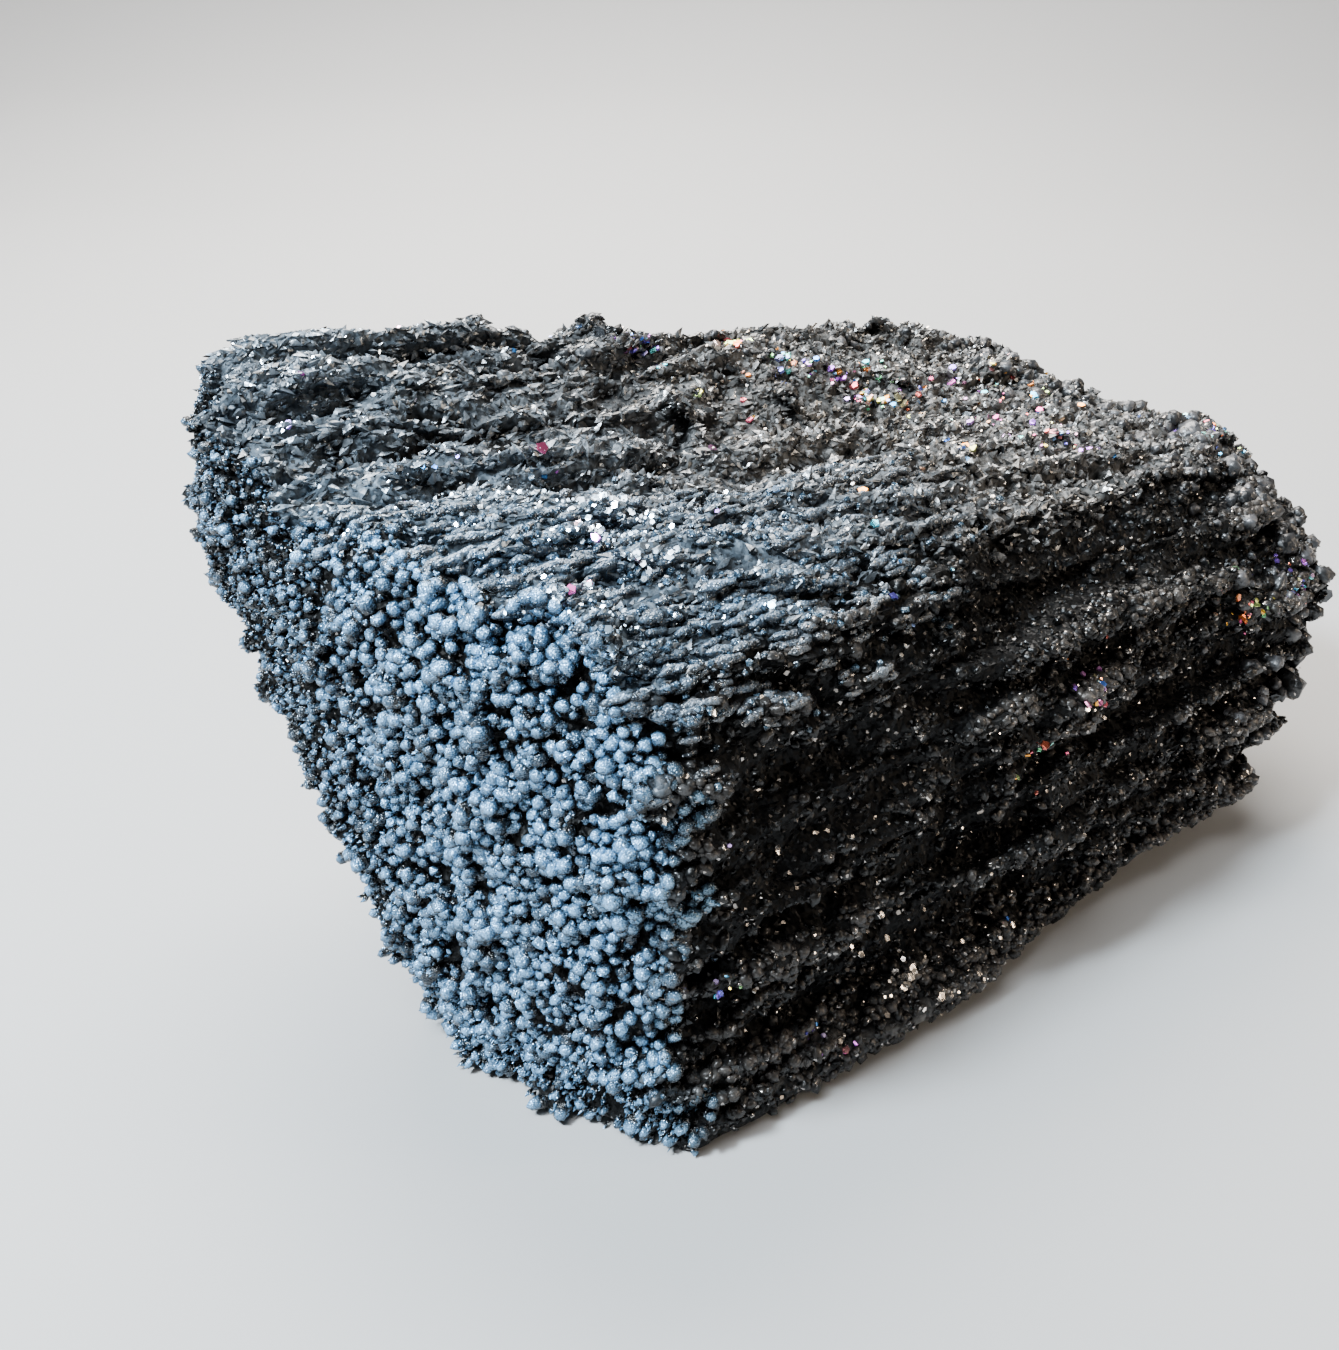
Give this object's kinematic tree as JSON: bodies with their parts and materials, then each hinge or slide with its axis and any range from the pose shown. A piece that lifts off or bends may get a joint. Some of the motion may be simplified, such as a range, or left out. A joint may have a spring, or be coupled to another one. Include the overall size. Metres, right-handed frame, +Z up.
{
  "type": "silicon carbide crystal",
  "caption": "Lump of fused silicon carbide crystals: a nodular crust at one end, columns along the flank, a hollow top with flat glittering plates, resting flat.",
  "frame": {"origin": "middle of the outer box, on the plane it rests on", "axes": "+X along the crystal columns, from the nodular end to the coarse end; -Y the broken flank that shows the columns; +Z up"},
  "size_m": [0.1666, 0.0956, 0.0819],
  "materials": {
    "silicon_carbide": "glittering blue-black crystal grains with a metallic lustre and scattered iridescent faces"
  },
  "bodies": {
    "root": {"crystal_lump": "silicon_carbide"}
  },
  "joints": []
}
